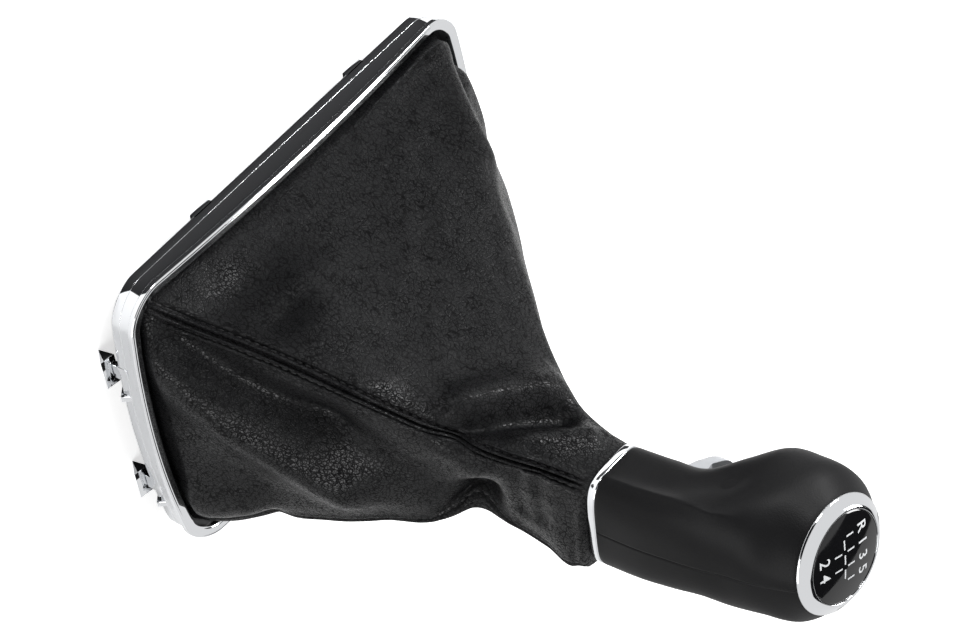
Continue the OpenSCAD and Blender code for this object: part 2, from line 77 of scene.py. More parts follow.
# ---------------------------------------------------------------- sizes
# in mm, and as in the part's source apart from three half depths in KNOB_ROWS
HALF_W, HALF_L, END_BOW, CORNER = 58.5, 84.0, 5.6, 12.0
BEZEL_Y, BEZEL_Z, SKIRT_H, RIM_ARCH = 33.5, -140.0, 10.3, 3.0
SKIRT_WALL, RIM_LIP, RIM_W, RIM_T, CLIP_DROP = 2.2, 1.4, 4.2, 2.4, 8.5
RIM_Z = BEZEL_Z + SKIRT_H
NECK_Y, NECK_Z, COLLAR_H = -0.3, 14.2, 2.7
COLLAR_Z = NECK_Z - COLLAR_H
NECK_A, NECK_B, NECK_N, NECK_TAPER = 19.3, 13.7, 4.0, -0.07
HEAD_A, HEAD_B, KNOB_H, CAP_REACH = 25.0, 24.3, 70.0, 16.6
CAP_TILT, CAP_LEAN = np.radians(7.6), np.radians(12.8)
RING_R, DISC_R, RING_DROP, RING_SEAT, DISC_CROWN = 19.7, 15.3, 2.7, 5.0, 1.3
CAP_Z = NECK_Z + KNOB_H
SHELL_WALL = 2.0
LEATHER, DRAPE = 1.3, 1.28
HEM_Z, CUFF_Z = -134.3, COLLAR_Z - 0.3
HEM_N, SOFT_N, CUFF_INSET = 20.0, 3.0, 0.4
GAITER_INSET = SKIRT_WALL + 2.4
GAITER_A, GAITER_B = HALF_W - GAITER_INSET, HALF_L - GAITER_INSET
GAITER_H = CUFF_Z - HEM_Z
HEM_GIRTH, CUFF_GIRTH = 427.5, 118.8
SEAM_HEM_GIRTH, SEAM_CUFF_GIRTH = 470, 130
SEAM_INSET = 2.5
# each row of stitches is named for its seam, whose place is a share of the way round
SEAMS = {"stitching_left": 0.0, "stitching_right": 0.75}


def lerp(a, b, t):
    return a + (b - a) * t


def unit(v):
    return v / np.maximum(np.linalg.norm(v, axis=-1, keepdims=True), 1e-12)


def bell(x, middle, reach):
    """1 at the middle, falling off alike on both sides."""
    return np.exp(-(((x - middle) / reach) ** 2))


def way_round(u, start):
    """The shorter way round from start to u, with its sign, as a share of the whole."""
    d = u - start
    return d - np.round(d)


def swell(u, middle, reach):
    """1 at the middle, falling smoothly to 0 at the reach round the gaiter."""
    return np.cos(np.pi / 2 * np.clip(np.abs(way_round(u, middle)) / reach, 0, 1)) ** 2


def round_rect(u, a, b, n, taper=0.0):
    """A rectangle of half sizes a and b and squareness n, once round for u from 0 to 1."""
    s = 4 * (u - np.floor(u))
    i = np.floor(s)
    t = 2 * (s - i) - 1
    x = np.select([i == 0, i == 1, i == 2], [-1 + 0 * t, t, 1 + 0 * t], -t)
    y = np.select([i == 0, i == 1, i == 2], [t, 1 + 0 * t, -t], -1 + 0 * t)
    m = (np.abs(x) ** n + np.abs(y) ** n) ** (1 / n)
    return a * x / m * (1 + taper * y / m), b * y / m


def smooth(rows, t, c):
    """Column c at t, on a smooth curve through the rows, whose first column is t."""
    rows = np.asarray(rows, float)
    k = len(rows)
    slope = np.array([(rows[min(k - 1, i + 1), c] - rows[max(0, i - 1), c])
                      / (rows[min(k - 1, i + 1), 0] - rows[max(0, i - 1), 0]) for i in range(k)])
    i = np.clip(np.searchsorted(rows[:, 0], t, side="right") - 1, 0, k - 2)
    w = rows[i + 1, 0] - rows[i, 0]
    f = (t - rows[i, 0]) / w
    return ((2 * f ** 3 - 3 * f ** 2 + 1) * rows[i, c] + (f ** 3 - 2 * f ** 2 + f) * w * slope[i]
            + (3 * f ** 2 - 2 * f ** 3) * rows[i + 1, c] + (f ** 3 - f ** 2) * w * slope[i + 1])


# ---------------------------------------------------------------- the knob's form
BEND_Y = 2.2
TOP_X = RING_DROP * np.sin(CAP_LEAN) * np.cos(CAP_TILT)
TOP_Y = CAP_REACH + RING_DROP * np.sin(CAP_TILT)
TOP_Z = KNOB_H - RING_DROP * np.cos(CAP_LEAN) * np.cos(CAP_TILT)


def collar_point(u, inset):
    x, y = round_rect(u, NECK_A - inset, NECK_B - inset, NECK_N, NECK_TAPER)
    return x, y + NECK_Y


def mid(share):
    return lerp(BEND_Y, CAP_REACH, share)


def wide(share):
    return lerp(NECK_A, HEAD_A, share)


def deep(share):
    return lerp(NECK_B, HEAD_B, share)


# share of height, middle in Y, half width, half depth, squareness, taper, tilt in degrees,
# share of the lean, middle in X. The half depths at 0.5, 0.63 and 0.77 are -0.3, +0.5 and
# -0.4 mm from the part's.
KNOB_ROWS = [
    [0, NECK_Y, NECK_A, NECK_B, NECK_N, NECK_TAPER, 0, 0, 0],
    [0.2, 0.9, NECK_A - 0.4, NECK_B + 0.6, NECK_N, NECK_TAPER, 0, 0, 0],
    [0.36, BEND_Y, NECK_A + 0.2, NECK_B + 0.6, 3.8, NECK_TAPER, 0, 0, -1],
    [0.5, mid(0.42), wide(0.36), deep(0.49), 3.3, -0.05, 1, 0.06, -1.2],
    [0.63, mid(0.83), wide(0.86), deep(0.87), 2.9, -0.02, 2.2, 0.22, 0.2],
    [0.77, CAP_REACH, wide(0.95), deep(0.96), 2.5, 0, 4.4, 0.51, 1],
    [0.9, CAP_REACH + 1.8, lerp(HEAD_A, RING_R, 0.08), lerp(HEAD_B, RING_R, 0.2),
     2.2, 0, 6.8, 0.84, 2.4],
    [1, TOP_Y, RING_R - 0.2, RING_R - 0.2, 2, 0, 7.6, 1, TOP_X]]
REAR_U, FRONT_U = -0.125, 0.375


def knob_point(t, u, inset):
    x, y = round_rect(u, smooth(KNOB_ROWS, t, 2) - inset, smooth(KNOB_ROWS, t, 3) - inset,
                      smooth(KNOB_ROWS, t, 4), smooth(KNOB_ROWS, t, 5))
    tilt, lean = np.radians(smooth(KNOB_ROWS, t, 6)), CAP_LEAN * smooth(KNOB_ROWS, t, 7)
    rise = y * np.sin(tilt)
    return np.stack([smooth(KNOB_ROWS, t, 8) + x * np.cos(lean) - rise * np.sin(lean),
                     smooth(KNOB_ROWS, t, 1) + y * np.cos(tilt),
                     NECK_Z + TOP_Z * t + x * np.sin(lean) + rise * np.cos(lean)], -1)


# ---------------------------------------------------------------- the leather's form
# folds: start u and height share, end u and height share, half width, height outward, sharpness
FOLDS = [
    (0.96, 0.02, 0.83, 0.42, 11, 6.5, 1.8), (0.985, 0.1, 0.93, 0.4, 9, -5.5, 2),
    (0.93, 0.4, 0.87, 0.62, 11, -4, 2), (0.80, 0.02, 0.80, 0.17, 8, 4, 2),
    (0.76, 0.08, 0.755, 0.2, 7, -4, 2), (0.06, 0.24, 0.02, 0.48, 11, 4, 2),
    (0.035, 0.14, 0.04, 0.24, 9, -4, 2), (0.237, 0.05, 0.26, 0.3, 6, 2.5, 1.8),
    (0.275, 0.06, 0.285, 0.17, 6, -4, 2), (0.3, 0.15, 0.31, 0.19, 6, -2.5, 2),
    (0.99, 0.69, 0.15, 0.85, 5.5, -6, 2), (0.05, 0.68, 0.18, 0.80, 7, 3.5, 2),
    (0.04, 0.83, 0.15, 0.93, 5, 3, 2), (0.78, 0.70, 0.86, 0.735, 6.5, -8, 2),
    (0.9, 0.76, 0.95, 0.80, 5, -2.5, 2), (0.87, 0.675, 0.95, 0.80, 5, 2.5, 2),
    (0.955, 0.84, 0.85, 0.835, 3.2, -1.6, 2), (0.975, 0.885, 0.86, 0.885, 3.0, -1.3, 2),
    (0.5, 0.3, 0.52, 0.6, 16, -4, 2), (0.62, 0.2, 0.66, 0.6, 15, -5, 2),
]
# share of height, height outward in mm; then the middle and the reach round the gaiter
FRONT_SWELL = [[0, 0], [0.05, 9], [0.1, 7], [0.2, 6.5], [0.3, 8], [0.45, 5], [0.6, 0.5],
               [0.75, -5.5], [0.85, -8], [0.95, -2.6], [1, 0]]
REAR_SWELL = [[0, 0], [0.07, 3], [0.15, 2], [0.25, -1], [0.4, -1.5], [0.5, -2.5], [0.6, -3],
              [0.7, -8], [0.8, -5], [0.88, -1], [0.95, 3.5], [1, 0.5]]
FRONT_SWELL_AT, REAR_SWELL_AT = (0.37, 0.24), (0.78, 0.16)
# share of height, way that the left seam runs aside, as a share of the way round
SEAM_SHIFT = [[0, 0], [0.3, 0], [0.5, -0.006], [0.65, -0.014], [0.78, -0.017], [0.9, -0.006],
              [1, 0]]
SEAM_SHIFT_REACH = 0.12
# beside a seam: height, distance from the seam and reach, in mm
SEAM_RELIEF = [(1.1, 1.3, 0.85), (-0.9, 0.0, 0.45), (-0.85, SEAM_INSET, 0.5),
               (0.45, SEAM_INSET + 1.5, 1.1)]
# the skin's waves: height in mm, cells round the gaiter, height of a cell in mm
WAVES = [(0.3, 32, 14), (0.12, 64, 6)]
# the cuff's rolled edge at the rear: height in mm, height share, reach and end, then its place
ROLL_H, ROLL_V, ROLL_REACH, ROLL_END, ROLL_AT = 3.2, 0.99, 0.022, 0.007, (0.8, 0.24)

LATTICE_SIZE = 64
rng = np.random.RandomState(7)
LATTICE = rng.uniform(-1, 1, (len(WAVES), LATTICE_SIZE, LATTICE_SIZE))


def girth(v):
    return lerp(HEM_GIRTH, CUFF_GIRTH, v)


def seam_girth(v):
    """The girth in mm by which distances from a seam are measured."""
    return lerp(SEAM_HEM_GIRTH, SEAM_CUFF_GIRTH, v)


def hem_and_cuff(v, low, high):
    """0 at hem and cuff, and 1 between them."""
    return np.clip(v / low, 0, 1) * np.clip((1 - v) / high, 0, 1)


def fold_height(u, v):
    total = (smooth(FRONT_SWELL, v, 1) * swell(u, *FRONT_SWELL_AT)
             + smooth(REAR_SWELL, v, 1) * swell(u, *REAR_SWELL_AT))
    for u0, v0, u1, v1, half_width, high, sharp in FOLDS:
        ax, ay = way_round(u, u0) * girth(v), (v - v0) * GAITER_H
        bx, by = way_round(u1, u0) * girth(v), (v1 - v0) * GAITER_H
        t = np.clip((ax * bx + ay * by) / (bx * bx + by * by), 0, 1)
        d = np.hypot(ax - t * bx, ay - t * by)
        total += high * np.exp(-((d / half_width) ** sharp))
    return hem_and_cuff(v, 0.05, 0.04) * total


def smooth_leather(u, v, n=HEM_N):
    """Points on the gaiter without its folds."""
    lx, ly = round_rect(u, GAITER_A, GAITER_B, n)
    hx, hy = collar_point(u, CUFF_INSET)
    bow = END_BOW * (1 - (lx / HALF_W) ** 2) * ly / GAITER_B
    s = 1 - (1 - v) ** DRAPE
    return np.stack([lerp(lx, hx, s), lerp(ly + bow + BEZEL_Y, hy, s),
                     lerp(HEM_Z, CUFF_Z, v) + 0 * lx], -1)


def outward(u, v, n=HEM_N):
    e = 0.004
    v0, v1 = np.maximum(0, v - e), np.minimum(1, v + e)
    return unit(np.cross(smooth_leather(u, v1, n) - smooth_leather(u, v0, n),
                         smooth_leather(u + e, v, n) - smooth_leather(u - e, v, n)))


def noise(layer, x, y):
    """Smooth value noise on a repeating lattice."""
    i, j = np.floor(x).astype(int), np.floor(y).astype(int)
    f, g = x - i, y - j
    f, g = f * f * (3 - 2 * f), g * g * (3 - 2 * g)
    k = LATTICE[layer]
    i0, i1, j0, j1 = (n % LATTICE_SIZE for n in (i, i + 1, j, j + 1))
    return lerp(lerp(k[i0, j0], k[i1, j0], f), lerp(k[i0, j1], k[i1, j1], f), g)


def seam_gap(u, v):
    """Distance in mm from the nearer of the two seams, measured round the gaiter."""
    return np.minimum(*[np.abs(way_round(u, s)) for s in SEAMS.values()]) * seam_girth(v)


def leather(u, v, lift=0.0, seams=True):
    """Points on the draped leather."""
    u, v = np.broadcast_arrays(np.asarray(u, float), np.asarray(v, float))
    d = seam_gap(u, v)
    u = u + smooth(SEAM_SHIFT, v, 1) * swell(u, 0.0, SEAM_SHIFT_REACH)
    p = smooth_leather(u, v) + fold_height(u, v)[..., None] * outward(u, v, SOFT_N)
    relief = sum(high * noise(k, u * cells, v * GAITER_H / tall)
                 for k, (high, cells, tall) in enumerate(WAVES))
    if seams:
        relief = relief + sum(high * bell(d, middle, reach) for high, middle, reach in SEAM_RELIEF)
    roll = (ROLL_H * bell(v, ROLL_V, ROLL_REACH) * np.minimum(1, (1 - v) / ROLL_END)
            * swell(u, *ROLL_AT))
    return p + (relief * hem_and_cuff(v, 0.06, 0.05) + roll + lift)[..., None] * outward(u, v)


# ---------------------------------------------------------------- mesh helpers
def make(name, points, faces, material, flat=False, sharp=None):
    """An object from points in mm; sharp is the angle, in degrees, above which edges stay sharp."""
    me = bpy.data.meshes.new(name)
    me.from_pydata((np.asarray(points) * MM).tolist(), [], faces)
    me.validate()
    me.update()
    if not flat:
        me.shade_smooth()
    if sharp is not None:
        me.set_sharp_from_angle(angle=np.radians(sharp))
    o = bpy.data.objects.new(name, me)
    bpy.context.scene.collection.objects.link(o)
    o.data.materials.append(material)
    return o


def grid_faces(rows, cols, closed=False, start=0, flip=False):
    """Quads of a grid of points, whose columns go round if it is closed."""
    r, c = np.meshgrid(np.arange(rows - 1), np.arange(cols if closed else cols - 1), indexing="ij")
    n = (c + 1) % cols
    q = np.stack([r * cols + c, r * cols + n, (r + 1) * cols + n, (r + 1) * cols + c], -1)
    q = q.reshape(-1, 4) + start
    return (q[:, ::-1] if flip else q).tolist()


def closing_faces(k, n):
    """Quads from the last to the first of k closed rings of n points."""
    last = (k - 1) * n
    return [[last + c, last + (c + 1) % n, (c + 1) % n, c] for c in range(n)]


def apply_modifiers(o):
    deps = bpy.context.evaluated_depsgraph_get()
    me = bpy.data.meshes.new_from_object(o.evaluated_get(deps))
    o.modifiers.clear()
    o.data = me


def bevel(o, width):
    m = o.modifiers.new("bevel", "BEVEL")
    m.width = width * MM
    m.segments = 2
    m.limit_method = "ANGLE"
    m.angle_limit = np.radians(30)
    apply_modifiers(o)
    o.data.shade_smooth()
    o.data.set_sharp_from_angle(angle=np.radians(40))


# ---------------------------------------------------------------- materials
def new_material(name, color, metallic=0.0, roughness=0.5, specular=0.5):
    m = bpy.data.materials.new(name)
    m.use_nodes = True
    b = m.node_tree.nodes["Principled BSDF"]
    b.inputs["Base Color"].default_value = (*color, 1)
    b.inputs["Metallic"].default_value = metallic
    b.inputs["Roughness"].default_value = roughness
    b.inputs["Specular IOR Level"].default_value = specular
    return m, m.node_tree, b


def add(nt, kind, inputs=None, **props):
    n = nt.nodes.new(kind)
    for k, v in props.items():
        setattr(n, k, v)
    for k, v in (inputs or {}).items():
        if isinstance(v, bpy.types.NodeSocket):
            nt.links.new(v, n.inputs[k])
        else:
            n.inputs[k].default_value = v
    return n


def math_node(nt, op, a, b=0.0):
    return add(nt, "ShaderNodeMath", {0: a, 1: b}, operation=op).outputs[0]


def vector_node(nt, op, inputs):
    return add(nt, "ShaderNodeVectorMath", inputs, operation=op).outputs[0]


def coords(nt, scale=(1, 1, 1)):
    tc = add(nt, "ShaderNodeTexCoord")
    return add(nt, "ShaderNodeMapping", {"Vector": tc.outputs["Object"], "Scale": scale}).outputs[0]


def noise_node(nt, at, scale, detail, output=0):
    inputs = {"Vector": at, "Scale": scale, "Detail": detail}
    return add(nt, "ShaderNodeTexNoise", inputs).outputs[output]


def cell_node(nt, at, scale, feature):
    inputs = {"Vector": at, "Scale": scale}
    return add(nt, "ShaderNodeTexVoronoi", inputs, feature=feature).outputs[0]


def ramp(nt, value, stops):
    n = add(nt, "ShaderNodeValToRGB", {0: value})
    for el, (pos, col) in zip(n.color_ramp.elements, stops):
        el.position = pos
        el.color = (*col, 1)
    return n.outputs[0]


def set_range(nt, value, lo, hi, a, b):
    return add(nt, "ShaderNodeMapRange", {0: value, 1: lo, 2: hi, 3: a, 4: b}).outputs[0]


def add_bump(nt, b, height, strength, distance, below=None):
    """A bump on the shader's normal; distance is in metres."""
    inputs = {"Strength": strength, "Distance": distance, "Height": height}
    if below is not None:
        inputs["Normal"] = below
    out = add(nt, "ShaderNodeBump", inputs).outputs[0]
    nt.links.new(out, b.inputs["Normal"])
    return out


def leather_material():
    m, nt, b = new_material("black_leather", (0.006, 0.006, 0.0065), roughness=0.36, specular=0.2)
    base = coords(nt, (1.3, 1.3, 0.85))
    bend = noise_node(nt, base, 260, 1, "Color")
    shift = vector_node(nt, "SUBTRACT", {0: bend, 1: (0.5, 0.5, 0.5)})
    shift = vector_node(nt, "SCALE", {0: shift, "Scale": 0.0026})
    at = vector_node(nt, "ADD", {0: base, 1: shift})
    crack = set_range(nt, cell_node(nt, at, 560, "DISTANCE_TO_EDGE"), 0.0, 0.13, 0.0, 1.0)
    fine = set_range(nt, cell_node(nt, at, 1150, "DISTANCE_TO_EDGE"), 0.0, 0.12, 0.0, 1.0)
    soft = noise_node(nt, base, 120, 2)
    depth = set_range(nt, soft, 0.4, 0.62, 0.75, 1.0)
    cracks = math_node(nt, "SUBTRACT", 1, math_node(nt, "MULTIPLY", crack, fine))
    lines = math_node(nt, "MULTIPLY", cracks, depth)
    height = math_node(nt, "SUBTRACT", math_node(nt, "MULTIPLY", soft, 0.2),
                       math_node(nt, "MULTIPLY", lines, 0.6))
    grain = add_bump(nt, b, height, 0.7, 0.0002)
    add_bump(nt, b, soft, 0.15, 0.001, below=grain)
    tone = ramp(nt, lines, [(0.05, (0.0048, 0.005, 0.0056)), (0.8, (0.0012, 0.0012, 0.0014))])
    nt.links.new(tone, b.inputs["Base Color"])
    nt.links.new(set_range(nt, lines, 0, 1, 0.29, 0.6), b.inputs["Roughness"])
    nt.links.new(set_range(nt, lines, 0, 1, 0.22, 0.04), b.inputs["Specular IOR Level"])
    return m


def chrome_material():
    m, nt, b = new_material("chrome_plate", (0.66, 0.67, 0.685), metallic=1, roughness=0.045)
    haze = noise_node(nt, coords(nt), 60, 5)
    nt.links.new(set_range(nt, haze, 0.35, 0.75, 0.03, 0.075), b.inputs["Roughness"])
    add_bump(nt, b, noise_node(nt, coords(nt), 38, 2), 0.05, 0.0004)
    return m


def grip_material():
    m, nt, b = new_material("soft_grip", (0.006, 0.006, 0.0063), roughness=0.42, specular=0.09)
    grain = cell_node(nt, coords(nt), 1900, "F1")
    fine = noise_node(nt, coords(nt), 2600, 3)
    height = math_node(nt, "ADD", math_node(nt, "MULTIPLY", grain, -0.7),
                       math_node(nt, "MULTIPLY", fine, 0.5))
    add_bump(nt, b, height, 0.35, 0.00012)
    wear = noise_node(nt, coords(nt), 34, 4)
    nt.links.new(set_range(nt, wear, 0.3, 0.7, 0.4, 0.5), b.inputs["Roughness"])
    tone = ramp(nt, wear, [(0.3, (0.0035, 0.0035, 0.0038)), (0.75, (0.006, 0.006, 0.0065))])
    nt.links.new(tone, b.inputs["Base Color"])
    return m


def gloss_material():
    m, nt, b = new_material("gloss_black", (0.004, 0.004, 0.0045), roughness=0.04, specular=0.3)
    dust = noise_node(nt, coords(nt), 420, 5)
    nt.links.new(set_range(nt, dust, 0.4, 0.8, 0.03, 0.1), b.inputs["Roughness"])
    return m


def satin_material():
    m, nt, b = new_material("satin_silver", (0.36, 0.37, 0.385), 0.15, 0.34, 0.4)
    grain = noise_node(nt, coords(nt), 1800, 3)
    add_bump(nt, b, grain, 0.12, 0.00008)
    nt.links.new(set_range(nt, grain, 0.3, 0.7, 0.28, 0.38), b.inputs["Roughness"])
    return m


def plastic_material():
    m, nt, b = new_material("black_plastic", (0.016, 0.016, 0.017), roughness=0.45, specular=0.45)
    grain = noise_node(nt, coords(nt), 900, 4)
    add_bump(nt, b, grain, 0.2, 0.0001)
    nt.links.new(set_range(nt, grain, 0.3, 0.7, 0.4, 0.52), b.inputs["Roughness"])
    return m


def steel_material():
    m, nt, b = new_material("plain_steel", (0.52, 0.53, 0.55), metallic=1, roughness=0.3)
    streak = noise_node(nt, coords(nt, (1, 1, 0.1)), 900, 4)
    nt.links.new(set_range(nt, streak, 0.3, 0.7, 0.24, 0.38), b.inputs["Roughness"])
    return m


def thread_material():
    m, nt, b = new_material("sewing_thread", (0.01, 0.01, 0.0105), roughness=0.62, specular=0.4)
    inputs = {"Vector": coords(nt), "Scale": 900, "Distortion": 1.5}
    ply = add(nt, "ShaderNodeTexWave", inputs).outputs[0]
    add_bump(nt, b, ply, 0.5, 0.0001)
    nt.links.new(set_range(nt, ply, 0, 1, 0.5, 0.72), b.inputs["Roughness"])
    return m


def print_material():
    m, nt, b = new_material("pale_print", (0.55, 0.56, 0.57), roughness=0.4, specular=0.4)
    patchy = noise_node(nt, coords(nt), 2500, 3)
    tone = ramp(nt, patchy, [(0.3, (0.42, 0.43, 0.44)), (0.7, (0.58, 0.59, 0.6))])
    nt.links.new(tone, b.inputs["Base Color"])
    return m


# materials by the record's slots
M = {"leather": leather_material(), "chrome": chrome_material(), "soft_grip": grip_material(),
     "gloss_black": gloss_material(), "silver_plastic": satin_material(),
     "black_plastic": plastic_material(), "steel": steel_material(), "thread": thread_material()}
PRINT = print_material()
for name, o in nodes.items():
    o.data.materials.clear()
    o.data.materials.append(M[slots[name]])


def dressed(o, body, *replaced, slot=None):
    """The piece rides on its body and takes over from its CAD nodes."""
    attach(o, body)
    if replaced:
        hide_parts(*replaced)


# ---------------------------------------------------------------- gaiter
# points round and rings of each half's outside; the inside has half the rings and fewer points
COLS, HALF_ROWS, INNER_COLS = 560, 92, 200
SPLIT_V = 0.52


def seam_columns():
    """Places round the gaiter, closer together beside the two seams."""
    middle_girth = 300
    near = np.array([0.35, 0.7, 1.05, 1.5, 2.0, 2.3, 2.6, 3.0, 3.6, 4.4]) / middle_girth
    u = np.linspace(0, 1, COLS, endpoint=False)
    for s in SEAMS.values():
        u = u[np.abs(way_round(u, s)) > near[-1] + 0.5 / COLS]
        u = np.concatenate([u, [s], s + near, s - near])
    return np.unique(np.mod(u, 1.0))


def gaiter_half(name, v0, v1):
    u = seam_columns()[None, :]
    v = np.linspace(v0, v1, HALF_ROWS)[:, None]
    outer = leather(u, v)
    inner_u = np.linspace(0, 1, INNER_COLS, endpoint=False)[None, :]
    inner_v = np.linspace(v0, v1, HALF_ROWS // 2)[:, None]
    inner = leather(inner_u, inner_v, -LEATHER, seams=False)
    points = np.concatenate([outer.reshape(-1, 3), inner.reshape(-1, 3)])
    faces = (grid_faces(HALF_ROWS, u.size, True, flip=True)
             + grid_faces(inner_v.size, INNER_COLS, True, outer.size // 3))
    o = make(name, points, faces, M["leather"])
    # The two halves share the whole surface's normals, so that no line shows between them
    e, f = 0.0006, 0.002
    du = leather(u + e, v) - leather(u - e, v)
    dv = leather(u, np.minimum(v + f, 1)) - leather(u, np.maximum(v - f, 0))
    normal = unit(np.cross(dv, du)).reshape(-1, 3)
    inside = np.zeros((inner.size // 3, 3))
    o.data.normals_split_custom_set_from_vertices(np.concatenate([normal, inside]).tolist())
    return o


gaiter_lower = gaiter_half("gaiter_leather_lower", 0.0, SPLIT_V)
gaiter_upper = gaiter_half("gaiter_leather_upper", SPLIT_V, 1.0)
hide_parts("gaiter_wrap_panel", "gaiter_rear_panel")
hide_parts("gaiter_wrap_panel", "gaiter_rear_panel")

# a stitch is a bent bead of thread: sizes in mm, apart from the flattening and the counts
STITCH_LENGTH, STITCH_PITCH, STITCH_RADIUS, STITCH_FLAT = 2.3, 3.1, 0.36, 0.75
STITCH_LIFT, STITCH_DIVE, STITCH_SIDES, STITCH_RINGS = 0.12, 0.25, 7, 7


def stitch_row(name, u_seam, v0, v1, replaced):
    """Single stitches along both rows of one seam."""
    points, faces = [], []
    s = np.linspace(0, 1, STITCH_RINGS)
    ends = (2 * s - 1) ** 4
    r = STITCH_RADIUS * np.sqrt(np.clip(1 - ends, 0.04, 1))
    a = np.arange(STITCH_SIDES) * 2 * np.pi / STITCH_SIDES
    for side in (-1, 1):
        v = np.linspace(0.005, 0.985, 1400)
        path = leather(u_seam + side * SEAM_INSET / seam_girth(v), v)
        run = np.concatenate([[0], np.cumsum(np.linalg.norm(np.diff(path, axis=0), axis=1))])
        for k in range(int(run[-1] / STITCH_PITCH)):
            at = (k + 0.5) * STITCH_PITCH
            va, vb = np.interp([at - STITCH_LENGTH / 2, at + STITCH_LENGTH / 2], run, v)
            if not v0 <= (va + vb) / 2 < v1:
                continue
            vs = lerp(va, vb, s)
            us = u_seam + side * SEAM_INSET / seam_girth(vs)
            line = leather(us, vs, STITCH_LIFT)
            normal = unit(np.cross(leather(us, vs + 0.002) - line, leather(us + 0.001, vs) - line))
            along = unit(np.gradient(line, axis=0))
            across = unit(np.cross(along, normal))
            normal = np.cross(across, along)
            line = line - normal * (STITCH_DIVE * ends)[:, None]
            ring = (line[:, None] + across[:, None] * (np.cos(a) * r[:, None])[..., None]
                    + normal[:, None] * (np.sin(a) * STITCH_FLAT * r[:, None])[..., None])
            start = len(points)
            last = start + (STITCH_RINGS - 1) * STITCH_SIDES
            points.extend(ring.reshape(-1, 3))
            faces.extend(grid_faces(STITCH_RINGS, STITCH_SIDES, True, start, flip=True))
            faces.append([start + i for i in range(STITCH_SIDES)])
            faces.append([last + i for i in reversed(range(STITCH_SIDES))])
    o = make(name, points, faces, M["thread"])
    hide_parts(replaced)
    return o


lower_pieces = [gaiter_lower]
upper_pieces = [gaiter_upper]
for node, seam in SEAMS.items():
    lower_pieces.append(stitch_row(node + "_lower", seam, 0.0, SPLIT_V, node))
    upper_pieces.append(stitch_row(node + "_upper", seam, SPLIT_V, 1.0, node))
for o in lower_pieces:
    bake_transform(o)
for o in upper_pieces:
    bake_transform(o)


# ---------------------------------------------------------------- bezel
def path_normals(path):
    """Outward normals of a closed path that runs counter-clockwise."""
    tangent = unit(np.roll(path, -1, 0) - np.roll(path, 1, 0))
    return np.stack([tangent[:, 1], -tangent[:, 0]], -1)


def bezel_path():
    """Points of the outline, counter-clockwise from the right side."""
    side, end = 36, 40
    arc = np.radians(np.linspace(0, 90, 25))[1:]
    x = np.concatenate([np.full(side, HALF_W), HALF_W - CORNER + CORNER * np.cos(arc),
                        np.linspace(HALF_W - CORNER, 0, end)[1:]])
    y = np.concatenate([np.linspace(0, HALF_L - CORNER, side),
                        HALF_L - CORNER + CORNER * np.sin(arc), np.full(end - 1, HALF_L)])
    bow = np.concatenate([np.zeros(side), np.sin(arc) ** 2, np.ones(end - 1)])
    y = y + bow * END_BOW * (1 - (x / HALF_W) ** 2)
    q = np.stack([x, y], -1)
    return np.concatenate([q, (q * [-1, 1])[::-1][1:], (q * [-1, -1])[1:],
                           (q * [1, -1])[::-1][1:-1]])


def rounded(corners):
    """A profile from (outward, up, cut): each corner becomes an arc of its own cut."""
    out = []
    at = [np.array(c[:2], float) for c in corners]
    for i, p in enumerate(at):
        cut = corners[i][2]
        s, e = p + cut * unit(at[i - 1] - p), p + cut * unit(at[(i + 1) % len(at)] - p)
        for t in np.linspace(0, 1, 5):
            out.append((1 - t) ** 2 * s + 2 * t * (1 - t) * p + t * t * e)
    return np.array(out)


def sweep(name, path, profile, height, material):
    """A closed profile of (outward, up) carried round a closed path; height gives the z."""
    k, n = len(profile), len(path)
    xy = path[None] + profile[:, 0][:, None, None] * path_normals(path)[None]
    points = np.concatenate([xy, height(profile, xy)[..., None]], -1).reshape(-1, 3)
    return make(name, points, grid_faces(k, n, True) + closing_faces(k, n), material, sharp=50)


# The rim's heights are counted from RIM_FOOT, which tells them from the skirt's
RIM_FOOT = 100.0
RIM_UNDER, RIM_IN = RIM_FOOT - RIM_T, RIM_LIP - RIM_W
BEZEL_CORNERS = [
    (-SKIRT_WALL, 0, 0.2), (0.0, 0, 0.35), (0.0, 3.4, 0.02), (-0.1, 3.45, 0.02),
    (-0.1, RIM_UNDER - 0.6, 0.3), (RIM_LIP - 0.4, RIM_UNDER, 0.2), (RIM_LIP, RIM_UNDER + 0.3, 0.15),
    (RIM_LIP, RIM_FOOT - 0.35, 0.25), (RIM_LIP - 0.55, RIM_FOOT, 0.3),
    (RIM_LIP - 0.95, RIM_FOOT - 0.2, 0.15), (RIM_LIP - 1.2, RIM_FOOT - 0.02, 0.15),
    (RIM_IN + 0.9, RIM_FOOT - 0.15, 0.3), (RIM_IN + 0.2, RIM_FOOT - 0.5, 0.3),
    (RIM_IN, RIM_FOOT - 1.1, 0.3), (RIM_IN, RIM_UNDER, 0.2), (-SKIRT_WALL, RIM_UNDER, 0.3)]


def bezel_height(profile, xy):
    arch = RIM_ARCH * (1 - np.clip(xy[..., 1] / HALF_L, -1, 1) ** 2)
    up = profile[:, 1][:, None]
    return np.where(up > RIM_FOOT / 2, RIM_Z + arch + up - RIM_FOOT, BEZEL_Z + up)


rim_obj = sweep("chrome_bezel_rim", bezel_path(), rounded(BEZEL_CORNERS), bezel_height, M["chrome"])
rim_obj.data.transform(Matrix.Translation((0, BEZEL_Y * MM, 0)))


def prism(outline2d, width, place):
    """A flat outline extruded along X, with place mapping (x, a, b) to a point."""
    n = len(outline2d)
    pts = [place(s * width / 2, a, b) for s in (-1, 1) for a, b in outline2d]
    faces = [list(range(n))[::-1], [n + i for i in range(n)]]
    faces += [[i, (i + 1) % n, n + (i + 1) % n, n + i] for i in range(n)]
    return pts, faces


